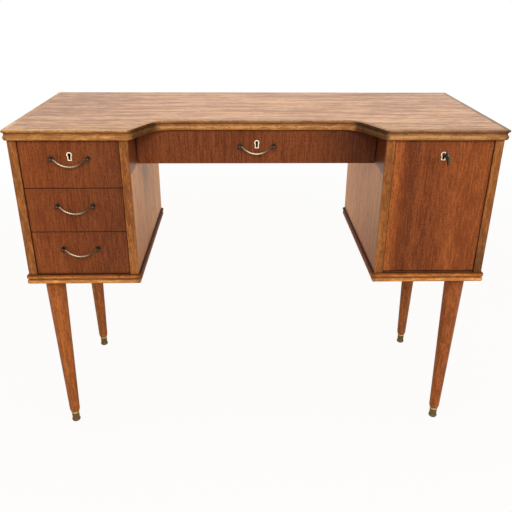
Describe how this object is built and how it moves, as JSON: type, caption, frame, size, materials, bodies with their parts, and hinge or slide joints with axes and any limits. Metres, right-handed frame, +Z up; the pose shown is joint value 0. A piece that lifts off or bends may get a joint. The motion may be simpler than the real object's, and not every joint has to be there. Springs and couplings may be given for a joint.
{
  "type": "writing desk with drawers",
  "caption": "Small wooden writing desk: hollowed top on two pedestals with drawers, a fall flap with key, and tapered turned legs with brass feet.",
  "frame": {"origin": "on the floor, at the bottom centre of the bounding box, which the key in the flap carries forward of the top", "axes": "+Z up, +X to the right of a person who sits at the desk, +Y from that person to the back of the desk"},
  "size_m": [1.02, 0.4557, 0.757],
  "materials": {
    "top_veneer": "satin lacquered teak veneer, grain along the width",
    "front_veneer": "satin lacquered red-brown teak veneer, grain upright",
    "side_veneer": "satin lacquered teak veneer",
    "moulding_wood": "satin lacquered golden-brown hardwood",
    "leg_wood": "satin lacquered turned hardwood",
    "base_wood": "plain hardwood, unfinished below",
    "carcass_wood": "planed beech, waxed",
    "drawer_wood": "planed beech, waxed",
    "drawer_plywood": "thin plywood",
    "back_plywood": "stained plywood",
    "brass": "aged brass",
    "bone": "cream bone inlay",
    "steel": "plain steel",
    "lock_steel": "darkened steel",
    "key_steel": "dark grey steel"
  },
  "bodies": {
    "desk_frame": {"top_panel": "top_veneer", "top_moulding": "moulding_wood", "base_mouldings": "moulding_wood", "stile_lippings": "moulding_wood", "left_outer_side": "side_veneer", "left_inner_side": "side_veneer", "right_outer_side": "side_veneer", "right_inner_side": "side_veneer", "centre_back_rail": "side_veneer", "left_back_panel": "back_plywood", "right_back_panel": "back_plywood", "left_base_board": "base_wood", "right_base_board": "base_wood", "top_rails": "carcass_wood", "drawer_runners": "carcass_wood", "right_shelf": "carcass_wood", "front_left_leg": "leg_wood", "front_right_leg": "leg_wood", "rear_left_leg": "leg_wood", "rear_right_leg": "leg_wood", "leg_ferrules": "brass", "leg_studs": "steel", "top_screws": "steel", "flap_pivot_pins": "steel"},
    "upper_drawer": {"upper_drawer_front": "front_veneer", "upper_drawer_sides": "drawer_wood", "upper_drawer_back": "drawer_wood", "upper_drawer_bottom": "drawer_plywood", "upper_drawer_handle_posts": "brass", "upper_drawer_escutcheon": "bone", "upper_drawer_lock_case": "lock_steel"},
    "middle_drawer": {"middle_drawer_front": "front_veneer", "middle_drawer_sides": "drawer_wood", "middle_drawer_back": "drawer_wood", "middle_drawer_bottom": "drawer_plywood", "middle_drawer_handle_posts": "brass"},
    "lower_drawer": {"lower_drawer_front": "front_veneer", "lower_drawer_sides": "drawer_wood", "lower_drawer_back": "drawer_wood", "lower_drawer_bottom": "drawer_plywood", "lower_drawer_handle_posts": "brass"},
    "centre_drawer": {"centre_drawer_front": "front_veneer", "centre_drawer_sides": "drawer_wood", "centre_drawer_back": "drawer_wood", "centre_drawer_bottom": "drawer_plywood", "centre_drawer_handle_posts": "brass", "centre_drawer_escutcheon": "bone", "centre_drawer_lock_case": "lock_steel"},
    "upper_drawer_bail": {"upper_drawer_bail": "brass"},
    "middle_drawer_bail": {"middle_drawer_bail": "brass"},
    "lower_drawer_bail": {"lower_drawer_bail": "brass"},
    "centre_drawer_bail": {"centre_drawer_bail": "brass"},
    "upper_drawer_bolt": {"upper_drawer_lock_bolt": "lock_steel"},
    "centre_drawer_bolt": {"centre_drawer_lock_bolt": "lock_steel"},
    "flap": {"flap_panel": "front_veneer", "flap_escutcheon": "bone", "flap_lock_case": "lock_steel"},
    "flap_bolt": {"flap_lock_bolt": "lock_steel"},
    "key": {"flap_key": "key_steel"}
  },
  "joints": [
    {"name": "upper_drawer_slide", "type": "slide", "parent": "desk_frame", "child": "upper_drawer", "axis": [0, -1, 0], "range_m": [0, 0.3]},
    {"name": "middle_drawer_slide", "type": "slide", "parent": "desk_frame", "child": "middle_drawer", "axis": [0, -1, 0], "range_m": [0, 0.3]},
    {"name": "lower_drawer_slide", "type": "slide", "parent": "desk_frame", "child": "lower_drawer", "axis": [0, -1, 0], "range_m": [0, 0.3]},
    {"name": "centre_drawer_slide", "type": "slide", "parent": "desk_frame", "child": "centre_drawer", "axis": [0, -1, 0], "range_m": [0, 0.2]},
    {"name": "upper_drawer_bail_swing", "type": "hinge", "parent": "upper_drawer", "child": "upper_drawer_bail", "pos_m": [-0.38375, -0.20285, 0.6965], "axis": [-1, 0, 0], "range_deg": [-15, 95]},
    {"name": "middle_drawer_bail_swing", "type": "hinge", "parent": "middle_drawer", "child": "middle_drawer_bail", "pos_m": [-0.38375, -0.20285, 0.5945], "axis": [-1, 0, 0], "range_deg": [-15, 95]},
    {"name": "lower_drawer_bail_swing", "type": "hinge", "parent": "lower_drawer", "child": "lower_drawer_bail", "pos_m": [-0.38375, -0.20285, 0.496], "axis": [-1, 0, 0], "range_deg": [-15, 95]},
    {"name": "centre_drawer_bail_swing", "type": "hinge", "parent": "centre_drawer", "child": "centre_drawer_bail", "pos_m": [0, -0.11635, 0.6997], "axis": [-1, 0, 0], "range_deg": [-15, 95]},
    {"name": "upper_drawer_bolt_slide", "type": "slide", "parent": "upper_drawer", "child": "upper_drawer_bolt", "axis": [0, 0, 1], "range_m": [0, 0.0065]},
    {"name": "centre_drawer_bolt_slide", "type": "slide", "parent": "centre_drawer", "child": "centre_drawer_bolt", "axis": [0, 0, 1], "range_m": [0, 0.0065]},
    {"name": "flap_fall", "type": "hinge", "parent": "desk_frame", "child": "flap", "pos_m": [0.38375, -0.18965, 0.4397], "axis": [1, 0, 0], "range_deg": [0, 90]},
    {"name": "key_turn", "type": "hinge", "parent": "flap", "child": "key", "pos_m": [0.38375, -0.19385, 0.7046], "axis": [0, 1, 0], "range_deg": [0, 180]},
    {"name": "flap_bolt_slide", "type": "slide", "parent": "flap", "child": "flap_bolt", "axis": [0, 0, 1], "range_m": [0, 0.0065]}
  ],
  "couplings": [
    {"joint": "flap_bolt_slide", "follows": "key_turn", "m_per_rad": 0.0020688}
  ]
}
